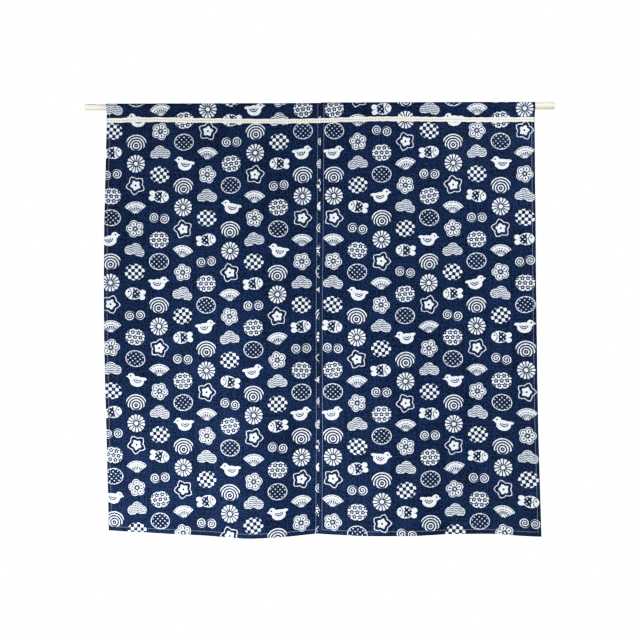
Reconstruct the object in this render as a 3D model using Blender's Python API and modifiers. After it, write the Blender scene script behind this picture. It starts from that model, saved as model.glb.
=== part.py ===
"""A noren curtain on its rod: two cotton panels side by side, joined at the top by a sewn header tape.

Metres, +Z up. X runs along the rod from its left end, the rod's axis is the X axis, and the front of the
cloth faces -Y. Each panel is one cloth: its hem, the hanging front, a pocket that goes over the rod, and
a short tail behind the seam that closes the pocket. Its side and bottom hems are turned to the back,
where they are thicker than the cloth.
"""

import math
from collections import namedtuple

import bmesh
import bpy
import numpy as np

MM = 0.001

# Cloth, in metres.
CLOTH_THICKNESS = 1.2 * MM
HEM_THICKNESS = 2.0 * MM
SIDE_HEM = 7 * MM
BOTTOM_HEM = 10 * MM
HEM_STEP = 1 * MM  # width of the slope from a hem down to the single cloth
HEM_TOP = 15 * MM  # below the seam: a side hem is flat above it and thickens over the next row
ROD_CLEARANCE = 0.4 * MM  # between the pocket and the rod in it
SEAM_GAP = 0.3 * MM  # between the pocket's two layers at the seam
SLIT_GAP = 1.0 * MM  # between the two panels, side by side
SEAM_DROP = 26.8 * MM  # from the rod's axis down to the seam that closes the pocket
HANG = 820 * MM  # from the seam down to the hem
TAIL = 9 * MM  # the pocket's back layer below the seam

# Header tape, sewn over the seam and across both panels.
TAPE_HEIGHT = 9 * MM
TAPE_THICKNESS = 0.8 * MM
TAPE_GAP = 0.3 * MM  # between the tape and the cloth under it
TAPE_END_INSET = 1 * MM  # from a panel's side to the tape's end

# Rod: a thin tube that slides in a thicker one.
ROD_LENGTH = 930 * MM
WALL = 0.7 * MM
INNER_RADIUS = 6.5 * MM
OUTER_RADIUS = 7.5 * MM
INNER_TUBE_LENGTH = 600 * MM
OUTER_TUBE_START = 470 * MM  # from the rod's left end, hidden in the pocket
MOUTH_TAPER = 3 * MM  # length over which the thick tube's mouth narrows
MOUTH_RADIUS = 7.0 * MM
END_THICKNESS = 2 * MM  # the thin tube's closed left end
EDGE_BEVEL = 0.4 * MM
PLUG_HEAD = 4.2 * MM  # length of the right end's plug that shows
PLUG_RADIUS = 7.1 * MM
SPIGOT_LENGTH = 10 * MM
PIECE_GAP = 0.3 * MM

# Grid of each panel and of the tape.
PANEL_COLUMNS = 20  # between the two side hems
FRONT_ROWS = 22  # from the bottom hem up to the seam
LEG_ROWS = 3  # straight side of the pocket, from the seam up to the rod
ARC_ROWS = 12
TAPE_COLUMNS = 40
TAPE_ROWS = 3
TURN_STEPS = 32

# The curtain's sides and the slit between its panels, in mm from the rod's left end. A row is at a share
# of the hanging height, from 0 at the seam to 1 at the hem.
Outline = namedtuple("Outline", "down left slit right")
OUTLINE = (
    Outline(0.00, 42.5, 466.3, 889.4),
    Outline(0.22, 38.2, 464.6, 889.7),
    Outline(0.46, 36.7, 461.8, 889.6),
    Outline(0.75, 38.6, 461.4, 892.3),
    Outline(1.00, 39.2, 459.6, 897.2),
)

# Each panel's soft folds, in mm. A row is at a share of the panel's width: how much lower than the rest
# its hem hangs, and how far forward the cloth stands at the hem and at half height.
Fold = namedtuple("Fold", "across hem_drop hem_forward mid_forward")
LEFT_FOLDS = (
    Fold(0.00, -4.5, -26, 12),
    Fold(0.15, -2.8, -17, -1),
    Fold(0.30, -1.0, -5, -6),
    Fold(0.50, 1.4, 9, -2),
    Fold(0.68, 4.0, 24, 7),
    Fold(0.85, 2.4, 13, 8),
    Fold(1.00, -1.3, -8, 0),
)
RIGHT_FOLDS = (
    Fold(0.00, -1.0, -6, 0),
    Fold(0.12, 0.7, 4, 4),
    Fold(0.27, 2.0, 13, 7),
    Fold(0.45, 1.8, 9, 1),
    Fold(0.62, 0.5, -4, -6),
    Fold(0.78, 0.3, -2, -4),
    Fold(0.90, 2.1, 10, 3),
    Fold(1.00, 3.3, 19, 8),
)

# The tape's middle line above or below the seam, in mm, at a share of the curtain's width.
TapeLine = namedtuple("TapeLine", "across above_seam")
TAPE_LINE = (
    TapeLine(0.00, -0.4),
    TapeLine(0.10, 1.4),
    TapeLine(0.22, -0.4),
    TapeLine(0.48, -1.8),
    TapeLine(0.58, 0.8),
    TapeLine(0.64, 1.6),
    TapeLine(0.78, 0.3),
    TapeLine(0.92, -0.8),
    TapeLine(1.00, -0.2),
)


def empty_scene():
    for obj in list(bpy.data.objects):
        bpy.data.objects.remove(obj)


def material(name, colour, roughness, metallic=0.0):
    made = bpy.data.materials.new(name)
    made.use_nodes = True
    shader = made.node_tree.nodes["Principled BSDF"]
    shader.inputs["Base Color"].default_value = (*colour, 1.0)
    shader.inputs["Roughness"].default_value = roughness
    shader.inputs["Metallic"].default_value = metallic
    return made


def smooth_curve(rows, column, at):
    """A smooth curve through one column of a table against its first column, read at these places."""
    knots = np.array([row[0] for row in rows])
    values = np.array([getattr(row, column) for row in rows]) * MM
    slopes = np.gradient(values, knots)
    first = np.clip(np.searchsorted(knots, at) - 1, 0, len(knots) - 2)
    span = knots[first + 1] - knots[first]
    share = (at - knots[first]) / span
    ease = share * share * (3 - 2 * share)
    bend = share * (1 - share) * ((1 - share) * slopes[first] - share * slopes[first + 1])
    return values[first] * (1 - ease) + values[first + 1] * ease + span * bend


def seam_face():
    """How far the outer face of either layer lies from the seam's middle plane."""
    return CLOTH_THICKNESS + SEAM_GAP / 2


def pocket_lean(rod_radius):
    """The angle from upright of the pocket's sides, which touch the cloth's circle round the rod."""
    reach = rod_radius + ROD_CLEARANCE + CLOTH_THICKNESS
    to_axis = math.hypot(seam_face(), SEAM_DROP)
    return math.asin(reach / to_axis) - math.atan(seam_face() / SEAM_DROP)


def pocket_profile(rod_radius):
    """Y and Z of the pocket's outer face above the seam's front: up, over the rod, down and to the tail."""
    reach = rod_radius + ROD_CLEARANCE + CLOTH_THICKNESS
    lean = pocket_lean(rod_radius)
    angle = np.linspace(math.pi + lean, -lean, ARC_ROWS + 1)
    arc = reach * np.column_stack((np.cos(angle), np.sin(angle)))
    share = np.linspace(0, 1, LEG_ROWS + 1)[:, None]
    front_seam = np.array((-seam_face(), -SEAM_DROP))
    back_seam = np.array((seam_face(), -SEAM_DROP))
    front_leg = front_seam + share * (arc[0] - front_seam)
    back_leg = arc[-1] + share * (back_seam - arc[-1])
    tail_end = back_seam - np.array((0, TAIL))
    return np.vstack((front_leg[1:], arc[1:], back_leg[1:], tail_end))


def panel_columns(width):
    """Shares of the panel's width: its two sides, the inner edges of both side hems, and even steps."""
    hem = SIDE_HEM / width
    single = (SIDE_HEM + HEM_STEP) / width
    even = np.linspace(single, 1 - single, PANEL_COLUMNS + 1)
    return np.concatenate(([0, hem], even, [1 - hem, 1]))


def front_rows():
    """Shares of the hanging height: the bottom hem's edges, then even rows up to HEM_TOP, and the seam."""
    even = np.linspace(1 - (BOTTOM_HEM + HEM_STEP) / HANG, HEM_TOP / HANG, FRONT_ROWS)
    return np.concatenate(([1, 1 - BOTTOM_HEM / HANG], even, [0]))


def hem_share(width):
    """For each row and column of a panel, 0 on single cloth and 1 on a hem."""
    across = panel_columns(width)
    down = front_rows()[:, None]
    side = np.minimum(across, 1 - across) < (SIDE_HEM + HEM_STEP / 2) / width
    bottom = (1 - down) < (BOTTOM_HEM + HEM_STEP / 2) / HANG
    below_top = down > (HEM_TOP + HEM_STEP) / HANG
    front = (side & below_top) | bottom
    pocket_rows = ARC_ROWS + 2 * LEG_ROWS + 1
    return np.vstack((front, np.zeros((pocket_rows, len(across)))))


def panel_width(sides):
    low, high = sides(np.zeros(1))
    return float(high[0] - low[0])


def panel_points(folds, sides, rod_radius):
    """The panel's outer face as rows from its hem up the front, over the rod and down to the tail."""
    across = panel_columns(panel_width(sides))
    down = front_rows()[:, None]
    at_hem = smooth_curve(folds, "hem_forward", across) * down**2
    at_middle = smooth_curve(folds, "mid_forward", across) * np.sin(math.pi * down) ** 2
    front_y = -seam_face() - at_hem - at_middle
    front_z = -SEAM_DROP - down * (HANG + smooth_curve(folds, "hem_drop", across))
    pocket = pocket_profile(rod_radius)
    wide = np.ones(len(across))
    y = np.vstack((front_y, pocket[:, :1] * wide))
    z = np.vstack((front_z, pocket[:, 1:] * wide))
    down_all = np.concatenate((down[:, 0], np.zeros(len(pocket))))
    low, high = sides(down_all)
    x = low[:, None] + (high - low)[:, None] * across
    return np.stack((x, y, z), axis=2)


def left_sides(down):
    slit = smooth_curve(OUTLINE, "slit", down)
    return smooth_curve(OUTLINE, "left", down), slit - SLIT_GAP / 2


def right_sides(down):
    slit = smooth_curve(OUTLINE, "slit", down)
    return slit + SLIT_GAP / 2, smooth_curve(OUTLINE, "right", down)


def tape_points():
    """The tape's outer face, in front of both pockets: it leans with the fuller one above the seam."""
    across = np.linspace(0, 1, TAPE_COLUMNS + 1)
    start = OUTLINE[0].left * MM + TAPE_END_INSET
    end = OUTLINE[0].right * MM - TAPE_END_INSET
    height = np.linspace(-TAPE_HEIGHT / 2, TAPE_HEIGHT / 2, TAPE_ROWS + 1)[:, None]
    above = height + smooth_curve(TAPE_LINE, "above_seam", across)
    leaning = np.maximum(above, 0) * math.tan(pocket_lean(OUTER_RADIUS))
    y = -seam_face() - TAPE_GAP - TAPE_THICKNESS - leaning
    x = np.broadcast_to(start + (end - start) * across, above.shape)
    return np.stack((x, y, above - SEAM_DROP), axis=2)


def cloth(name, points, thickness, made_of, parts):
    """A grid laid on these points, which are its outer face, and thickened inwards to one solid."""
    rows, columns = points.shape[0] - 1, points.shape[1] - 1
    mesh = bpy.data.meshes.new(name)
    grid = bmesh.new()
    bmesh.ops.create_grid(grid, x_segments=columns, y_segments=rows, size=1)
    for vertex in grid.verts:
        column = round((vertex.co.x + 1) / 2 * columns)
        row = round((vertex.co.y + 1) / 2 * rows)
        vertex.co = points[row, column]
    grid.to_mesh(mesh)
    grid.free()
    mesh.shade_smooth()
    mesh.materials.append(made_of)
    obj = bpy.data.objects.new(name, mesh)
    parts.objects.link(obj)
    shell = obj.modifiers.new("thickness", "SOLIDIFY")
    shell.thickness = thickness
    shell.offset = -1
    shell.use_even_offset = True
    return obj


def panel(name, folds, sides, rod_radius, made_of, parts):
    """One panel's cloth, thickened to HEM_THICKNESS at its hems and to CLOTH_THICKNESS elsewhere."""
    points = panel_points(folds, sides, rod_radius)
    obj = cloth(name, points, HEM_THICKNESS, made_of, parts)
    hems = obj.vertex_groups.new(name="hems")
    for index, share in enumerate(hem_share(panel_width(sides)).ravel()):
        hems.add([index], float(share), "REPLACE")
    shell = obj.modifiers["thickness"]
    shell.vertex_group = hems.name
    shell.thickness_vertex_group = CLOTH_THICKNESS / HEM_THICKNESS
    return obj


def turned(name, profile, made_of, parts):
    """A solid turned round the rod's axis from a profile of (distance along the rod, radius) points."""
    mesh = bpy.data.meshes.new(name)
    points = [(radius, 0, along) for along, radius in profile]
    mesh.from_pydata(points, [(i, i + 1) for i in range(len(points) - 1)], [])
    mesh.materials.append(made_of)
    obj = bpy.data.objects.new(name, mesh)
    parts.objects.link(obj)
    obj.rotation_euler = (0, math.pi / 2, 0)
    screw = obj.modifiers.new("turn", "SCREW")
    screw.steps = TURN_STEPS
    screw.render_steps = TURN_STEPS
    screw.use_merge_vertices = True
    screw.merge_threshold = 0.00001
    screw.use_smooth_shade = True
    return obj


def inner_tube(made_of, parts):
    """The thin tube: a closed left end, and an open right end inside the thick tube."""
    end = INNER_TUBE_LENGTH
    bore = INNER_RADIUS - WALL
    profile = (
        (END_THICKNESS, 0),
        (END_THICKNESS, bore),
        (end, bore),
        (end, INNER_RADIUS),
        (EDGE_BEVEL, INNER_RADIUS),
        (0, INNER_RADIUS - EDGE_BEVEL),
        (0, 0),
    )
    return turned("rod_inner_tube", profile, made_of, parts)


def outer_tube(made_of, parts):
    """The thick tube: open ends, with a mouth that narrows towards the thin tube."""
    start = OUTER_TUBE_START
    end = ROD_LENGTH - PLUG_HEAD - PIECE_GAP
    bore = OUTER_RADIUS - WALL
    profile = (
        (start, bore),
        (end, bore),
        (end, OUTER_RADIUS - EDGE_BEVEL),
        (end - EDGE_BEVEL, OUTER_RADIUS),
        (start + MOUTH_TAPER, OUTER_RADIUS),
        (start, MOUTH_RADIUS),
        (start, bore),
    )
    return turned("rod_outer_tube", profile, made_of, parts)


def end_plug(made_of, parts):
    """The right end's plug: a head as wide as the tube and a spigot in its bore."""
    face = ROD_LENGTH
    shoulder = face - PLUG_HEAD
    spigot = OUTER_RADIUS - WALL - PIECE_GAP
    profile = (
        (face, 0),
        (face, PLUG_RADIUS - EDGE_BEVEL),
        (face - EDGE_BEVEL, PLUG_RADIUS),
        (shoulder, PLUG_RADIUS),
        (shoulder, spigot),
        (shoulder - SPIGOT_LENGTH, spigot),
        (shoulder - SPIGOT_LENGTH, 0),
    )
    return turned("rod_end_plug", profile, made_of, parts)


def main():
    empty_scene()
    parts = bpy.data.collections.new("noren_curtain")
    bpy.context.scene.collection.children.link(parts)
    navy_cotton = material("printed navy cotton", (0.022, 0.035, 0.090), 0.9)
    cream_tape = material("cream cotton tape", (0.80, 0.75, 0.62), 0.9)
    cream_enamel = material("cream enamelled steel", (0.88, 0.86, 0.76), 0.35)
    white_plastic = material("white plastic", (0.90, 0.90, 0.87), 0.5)
    panel("panel_left", LEFT_FOLDS, left_sides, INNER_RADIUS, navy_cotton, parts)
    panel("panel_right", RIGHT_FOLDS, right_sides, OUTER_RADIUS, navy_cotton, parts)
    cloth("header_tape", tape_points(), TAPE_THICKNESS, cream_tape, parts)
    inner_tube(cream_enamel, parts)
    outer_tube(cream_enamel, parts)
    end_plug(white_plastic, parts)


main()
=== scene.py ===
"""A printed noren curtain on its rod: the looks of its two cotton panels, header tape, stitches and rod.

Metres, +Z up. X runs along the rod from its left end, the rod's axis is the X axis and the cloth's front
faces -Y. The tables and lengths of the shape are the solids' own, so each piece lies where its solid is.
"""

import math
from collections import namedtuple

import bpy
import numpy as np
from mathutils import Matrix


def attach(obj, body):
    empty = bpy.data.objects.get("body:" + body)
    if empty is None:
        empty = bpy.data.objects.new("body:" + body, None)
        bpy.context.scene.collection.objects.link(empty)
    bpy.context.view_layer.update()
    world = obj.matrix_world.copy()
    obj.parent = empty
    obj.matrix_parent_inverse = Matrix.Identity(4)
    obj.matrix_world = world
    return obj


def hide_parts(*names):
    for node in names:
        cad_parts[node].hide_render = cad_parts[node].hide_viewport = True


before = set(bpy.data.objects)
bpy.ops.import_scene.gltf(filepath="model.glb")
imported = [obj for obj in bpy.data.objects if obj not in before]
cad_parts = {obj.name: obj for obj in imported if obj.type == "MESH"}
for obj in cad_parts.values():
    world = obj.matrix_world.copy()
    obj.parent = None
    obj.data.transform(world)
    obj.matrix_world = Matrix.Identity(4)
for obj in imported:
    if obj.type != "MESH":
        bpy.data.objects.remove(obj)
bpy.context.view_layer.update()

MM = 0.001
PI = math.pi

# ---------------------------------------------------------------- sizes, in metres

CLOTH = 0.55 * MM  # plain-weave cotton
HEM = 1.3 * MM  # a hem is three layers of it
SEAM_GAP = 0.1 * MM  # between the pocket's two layers at the seam
ROD_GAP = 0.15 * MM  # between the pocket and the rod in it
SLIT_GAP = 0.02 * MM  # the panels hang edge to edge
SEAM_DROP = 26.8 * MM  # from the rod's axis down to the seam that closes the pocket
HANG = 820 * MM  # from the seam down to the hem
TAIL = 9 * MM  # the pocket's back layer below the seam
SIDE_HEM = 7 * MM
SIDE_STITCH = 6 * MM  # a side hem's stitches, from its edge
BOTTOM_HEM = 10 * MM
BOTTOM_STITCH = 8.5 * MM
HEM_STEP = 0.8 * MM  # width of the slope from a hem down to the single cloth
HEM_RIDGE = 0.15 * MM  # how far a hem stands forward of the single cloth
HEM_TOP = 15 * MM  # a side hem is flat above this place below the seam
HEM_TOP_SLOPE = 3 * MM  # half the length over which it thickens there
STITCH_GROOVE = 0.22 * MM  # how deep a hem's stitches press the cloth in
STITCH_GROOVE_WIDTH = 0.9 * MM  # the groove's bell curve falls to a third at this distance
FACE = CLOTH + SEAM_GAP / 2  # from the middle of the pocket's seam to its outer face

# Below the seam the cloth comes free of it: where a form starts, and where it has its whole height.
CREASES_FREE = (8 * MM, 75 * MM)
HEMS_FREE = (5 * MM, 30 * MM)

TAPE_HEIGHT = 8.2 * MM  # the soft edges end just inside the solid's
TAPE = 0.6 * MM  # its thickness
TAPE_GAP = 0.05 * MM  # between the tape and the cloth under it
TAPE_END_INSET = 1 * MM  # from a panel's side to the tape's end
TAPE_GROOVE = 0.15 * MM  # pressed in by its row of stitches
TAPE_GROOVE_WIDTH = 1.1 * MM
TAPE_UNEVEN = 0.35 * MM  # how far its edges wander
TAPE_STATIONS = 281
# The grid's rows, as shares of half its height.
TAPE_ROWS = (-1, -0.97, -0.8, -0.55, -0.3, -0.12, 0, 0.12, 0.3, 0.55, 0.8, 0.97, 1)

ROD_LENGTH = 930 * MM
WALL = 0.7 * MM
INNER_RADIUS = 6.5 * MM
OUTER_RADIUS = 7.5 * MM
INNER_TUBE_LENGTH = 600 * MM
OUTER_TUBE_START = 470 * MM  # from the rod's left end, hidden in the pocket
MOUTH_TAPER = 3 * MM  # length over which the thick tube's mouth narrows
MOUTH_RADIUS = 7.0 * MM
MOUTH_CROWN = 0.08 * MM  # how far the taper bulges at its middle
END_THICKNESS = 2 * MM  # the thin tube's closed left end
EDGE_ROUND = 0.4 * MM
PLUG_HEAD = 4.2 * MM  # length of the right end's plug that shows
PLUG_RADIUS = 7.1 * MM
SPIGOT_LENGTH = 10 * MM
PIECE_GAP = 0.3 * MM

# Stitches along a row: how far apart they are, how long, and their thread's radius.
Sewing = namedtuple("Sewing", "pitch length radius")
HEM_SEWING = Sewing(3.3 * MM, 2.8 * MM, 0.27 * MM)
# Real thread is too fine to show on the tape, so its stitches are drawn as large as they look.
TAPE_SEWING = Sewing(5.4 * MM, 3.0 * MM, 0.52 * MM)
THREAD_SIDES = 6
STITCH_SHOULDER = 0.36  # a stitch has its whole thickness up to this share of its length either way
STITCH_LIFT = 0.35  # its middle stands this share of its radius above the cloth
STITCH_SINK = 0.4  # and its ends lie this share below it

# Grid stations near an edge, in mm from it, and the even step between them.
SIDE_STATIONS = (0, 0.5, 2, 4, 5.2, 6, 6.8, 7.3, 7.8, 9, 11.5)
HEM_STATIONS = (0, 0.5, 2.5, 5.5, 7.6, 8.5, 9.3, 10, 10.6, 11.8, 14)
SEAM_STATIONS = (0, 1.5, 3, 4.5, 6, 8, 10.5, 13.5, 17)
STEP = 4.3
LEG_ROWS = 8  # straight side of the pocket, from the seam up to the rod
ARC_ROWS = 26  # over the rod
TAIL_ROWS = 4
TURN_STEPS = 64  # round the rod

# Where the map "OFBake" lays a sheet: across, its front, its back and the rims beside them, and along.
BAKE_FRONT = (0.003, 0.690)
BAKE_BACK = (0.695, 0.995)
BAKE_RIM_MIDDLES = (0.6925, 0.9975)
BAKE_LAST = 0.9999
BAKE_ALONG = (0.003, 0.997)
BAKE_ENDS = (0.0008, 0.9992)
RIM_BULGE = 0.35  # share of the thickness by which a sheet's rim stands out

# ---------------------------------------------------------------- stage and colours

FLOOR_Z = -1.9
FLOOR_RADIUS = 2.0
FLOOR_SIDES = 96
VIEW_X = 0.4633
VIEW_Z = -0.4227
VIEW_FAR = 2.5
VIEW_WIDE = 1.267  # what the camera sees across, at the rod
ROD_CLIMB = 0.0031  # the rod's slope in the view, in radians
SURROUND_LIGHT = 0.3  # strength of the surround as a light
SURROUND_SEEN = 1.4  # and as the camera sees it: the tone curve's white
# The camera's tone curve, light in against light out: straight in the shadows, rounded off in the highlights.
TONE_CURVE = (
    (0.0, 0.0), (0.2, 0.2), (0.4, 0.4), (0.6, 0.6), (0.8, 0.785), (1.05, 0.9), (1.2, 0.95), (1.4, 1.0)
)

NAVY_DEEP = "#010818"
NAVY_WORN = "#132b53"
NAVY_BACK_DEEP = "#1d2a4c"
NAVY_BACK_WORN = "#2d3e68"
PRINT_FULL = "#f0f8ff"
PRINT_THIN = "#ced6e4"
PRINT_BACK_THIN = "#7c879e"
PRINT_BACK_FULL = "#98a2b5"
TAPE_CREAM = "#f9f5ec"
# The tape's darker tone is painted shade between its ribs and the darker part of its random fuzz.
TAPE_SHADE = "#eae4d8"

# ---------------------------------------------------------------- the hanging shape, in mm

# X of the cloth's left side, of the slit and of its right side, at shares of the way down to the hem.
Outline = namedtuple("Outline", "down left slit right")
OUTLINE = (
    Outline(0.00, 42.5, 466.3, 889.4),
    Outline(0.22, 38.2, 464.6, 889.7),
    Outline(0.46, 36.7, 461.8, 889.6),
    Outline(0.75, 38.6, 461.4, 892.3),
    Outline(1.00, 39.2, 459.6, 897.2),
)

# How much lower a panel's hem hangs, and how far the hem and the middle of the cloth stand forward, at shares
# of the way across.
Fold = namedtuple("Fold", "across hem_drop hem_forward mid_forward")
LEFT_FOLDS = (
    Fold(0.00, -4.5, -26, 12),
    Fold(0.15, -2.8, -17, -1),
    Fold(0.30, -1.0, -5, -6),
    Fold(0.50, 1.4, 9, -2),
    Fold(0.68, 4.0, 24, 7),
    Fold(0.85, 2.4, 13, 8),
    Fold(1.00, -1.3, -8, 0),
)
RIGHT_FOLDS = (
    Fold(0.00, -1.0, -6, 0),
    Fold(0.12, 0.7, 4, 4),
    Fold(0.27, 2.0, 13, 7),
    Fold(0.45, 1.8, 9, 1),
    Fold(0.62, 0.5, -4, -6),
    Fold(0.78, 0.3, -2, -4),
    Fold(0.90, 2.1, 10, 3),
    Fold(1.00, 3.3, 19, 8),
)

# How far above the seam the middle of the tape runs, at shares of its length.
TapeLine = namedtuple("TapeLine", "across above_seam")
TAPE_LINE = (
    TapeLine(0.00, -0.4),
    TapeLine(0.10, 1.4),
    TapeLine(0.22, -0.4),
    TapeLine(0.48, -1.8),
    TapeLine(0.58, 0.8),
    TapeLine(0.64, 1.6),
    TapeLine(0.78, 0.3),
    TapeLine(0.92, -0.8),
    TapeLine(1.00, -0.2),
)

# The main creases: soft ridges (or troughs, where the height is below 0) from one place to another. A place
# is in mm from the rod's left end and below the seam.
Crease = namedtuple("Crease", "x1 down1 x2 down2 width height")
CREASES = (
    Crease(712, 50, 668, 262, 15, 2.6),
    Crease(497, 612, 604, 516, 10, 1.5),
    Crease(664, 566, 762, 472, 12, 1.8),
    Crease(780, 560, 840, 505, 11, 1.2),
    Crease(216, 604, 238, 770, 12, -1.9),
    Crease(284, 610, 262, 790, 17, 1.8),
    Crease(476, 320, 470, 600, 15, 1.4),
    Crease(282, 140, 252, 420, 26, 2.8),
    Crease(760, 290, 862, 450, 15, -1.6),
    Crease(398, 140, 424, 262, 17, -1.9),
    Crease(100, 240, 142, 60, 20, -1.8),
    Crease(120, 520, 60, 700, 22, 1.9),
    Crease(560, 700, 540, 800, 16, -1.4),
    Crease(820, 640, 846, 800, 18, -1.5),
    Crease(464, 520, 466, 830, 30, 3.0),
    Crease(498, 570, 502, 830, 45, 4.2),
    Crease(738, 420, 732, 830, 60, 3.8),
    Crease(300, 100, 330, 330, 42, 4.0),
    Crease(190, 205, 110, 390, 30, -3.2),
    Crease(438, 150, 440, 250, 26, -3.6),
    Crease(470, 335, 480, 560, 9, -1.2),
    Crease(345, 545, 338, 640, 9, -1.4),
    Crease(660, 60, 770, 120, 40, 3.4),
    Crease(700, 250, 810, 300, 28, -2.6),
    Crease(772, 350, 790, 420, 16, -1.6),
)

# A wave of the cloth: its wavelengths across and down and its height, in mm.
Wave = namedtuple("Wave", "across down phase height")


# ---------------------------------------------------------------- curves and fields


def smooth_curve(rows, column, at):
    """A cubic through one column of a table against its first: at each row it has the row's value, and the
    slope between the row's neighbours."""
    knots = np.array([row[0] for row in rows])
    values = np.array([getattr(row, column) for row in rows]) * MM
    slopes = np.gradient(values, knots)
    first = np.clip(np.searchsorted(knots, at) - 1, 0, len(knots) - 2)
    span = knots[first + 1] - knots[first]
    share = (at - knots[first]) / span
    ease = share * share * (3 - 2 * share)
    bend = share * (1 - share) * ((1 - share) * slopes[first] - share * slopes[first + 1])
    return values[first] * (1 - ease) + values[first + 1] * ease + span * bend


def soft_step(value, low, high):
    """0 up to low, 1 from high, and a smooth rise between them."""
    share = np.clip((value - low) / (high - low), 0, 1)
    return share * share * (3 - 2 * share)


def stations(length, near_start, near_end, step):
    """Places from 0 to length: the listed ones near each end and even steps between, in metres."""
    start = np.array(near_start) * MM
    end = length - np.array(near_end)[::-1] * MM
    count = round((end[0] - start[-1]) / (step * MM))
    even = np.linspace(start[-1], end[0], count + 1)[1:-1]
    return np.concatenate((start, even, end))


def waves(seed, count, shortest, longest, height):
    """Sine waves that run mostly across the cloth, so that their crests hang mostly upright: slant is the
    wavelength across over the wavelength down."""
    draw = np.random.default_rng(seed)
    across = draw.uniform(shortest, longest, count)
    slant = draw.normal(0, USUAL_SLANT, count)
    phase = draw.uniform(0, 2 * PI, count)
    down = across / np.maximum(abs(slant), LEAST_SLANT) * np.sign(slant)
    return [Wave(*wave, height) for wave in zip(across, down, phase)]


def drifting_sine(at, wavelength, drift, drift_wavelength, phase=0.0, drift_phase=0.0):
    """A sine of at, whose phase a slow sine moves by up to drift radians, with wavelengths in mm."""
    slow = np.sin(2 * PI * at / (drift_wavelength * MM) + drift_phase)
    return np.sin(2 * PI * at / (wavelength * MM) + drift * slow + phase)


USUAL_SLANT = 0.45
LEAST_SLANT = 0.05
BROAD_WAVES = waves(11, 12, 95, 230, 0.34)
CRUMPLE_WAVES = waves(29, 14, 38, 78, 0.10)


def ripple(field, x, down):
    """The sum of the field's waves: height times the sine of x and depth over their wavelengths."""
    total = 0
    for wave in field:
        total = total + wave.height * MM * np.sin(
            2 * PI * (x / (wave.across * MM) + down / (wave.down * MM)) + wave.phase
        )
    return total


def creases(x, down):
    """The sum of the creases: each a bell curve of the distance from its line, rounded off past its ends."""
    total = 0
    for crease in CREASES:
        ax, ad, bx, bd = (np.array(crease[:4]) * MM).tolist()
        length2 = (bx - ax) ** 2 + (bd - ad) ** 2
        along = ((x - ax) * (bx - ax) + (down - ad) * (bd - ad)) / length2
        nearest = np.clip(along, 0, 1)
        gap2 = (x - ax - nearest * (bx - ax)) ** 2 + (down - ad - nearest * (bd - ad)) ** 2
        bell = np.exp(-gap2 / (crease.width * MM) ** 2)
        total = total + crease.height * MM * bell
    return total


def gather(x):
    """The small uneven waves into which the tape's seam draws the cloth: two sines, some 41 and 24 mm long,
    whose wavelengths drift."""
    long_wave = drifting_sine(x, 41, 1.3, 173)
    short_wave = drifting_sine(x, 23.7, 2.0, 131, phase=1)
    return (0.42 * long_wave + 0.26 * short_wave) * MM


def near_seam(x, height):
    """How far forward both layers stand: the gathers, which fall to a third in 55 mm down the cloth and to
    nothing 17 mm above the seam."""
    below = np.exp(np.minimum(height, 0) / (55 * MM))
    return gather(x) * np.where(height < 0, below, 1 - soft_step(height, 0, 17 * MM))


def slack(x, height, phase):
    """How far the pocket's side bulges between the seam and the rod: an uneven swell of up to 0.7 mm, times
    the square of a sine that is 0 at the seam and 18 mm above it."""
    swell = 0.5 + 0.5 * drifting_sine(x, 67, 1.7, 211, phase)
    share = np.clip(height / (18 * MM), 0, 1)
    return 0.7 * MM * swell * np.sin(PI * share) ** 2


def puckers(along, inwards, phase):
    """The ripple of a stitched hem along its edge: a sine some 25 mm long and up to 0.36 mm high, whose
    strength comes and goes and falls to a third 13 mm inwards."""
    strength = 0.55 + 0.45 * np.sin(2 * PI * along / (187 * MM) + 2.1 * phase)
    wave = drifting_sine(along, 25, 1.6, 141, drift_phase=phase)
    return 0.36 * MM * strength * wave * np.exp(-inwards / (13 * MM))


# ---------------------------------------------------------------- meshes


def new_piece(name, vertices, faces, finish, node=None, smooth=True):
    """A mesh object at the origin, which takes the place of the solid's node if one is given."""
    mesh = bpy.data.meshes.new(name)
    mesh.from_pydata(vertices, [], faces)
    if smooth:
        mesh.shade_smooth()
    mesh.materials.append(finish)
    piece = bpy.data.objects.new(name, mesh)
    bpy.context.scene.collection.objects.link(piece)
    if node:
        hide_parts(node)
    return piece


def normals_of(points):
    """The unit normals of a grid of points: the cross product of its steps across and its steps along."""
    across = np.gradient(points, axis=1)
    along = np.gradient(points, axis=0)
    normal = np.cross(across, along)
    return normal / np.linalg.norm(normal, axis=2, keepdims=True)


def unit(vectors):
    """Each vector over its length."""
    return vectors / np.linalg.norm(vectors, axis=-1, keepdims=True)


def lengths_along(points):
    """How far each point of a line is from its first, along the line."""
    return np.concatenate(([0], np.cumsum(np.linalg.norm(np.diff(points, axis=0), axis=1))))


def rim(middle, edge, next_in, thickness):
    """A line beside a sheet's edge: the middle of its thickness, moved out by a share of it."""
    return middle + unit(edge - next_in) * RIM_BULGE * thickness


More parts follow.
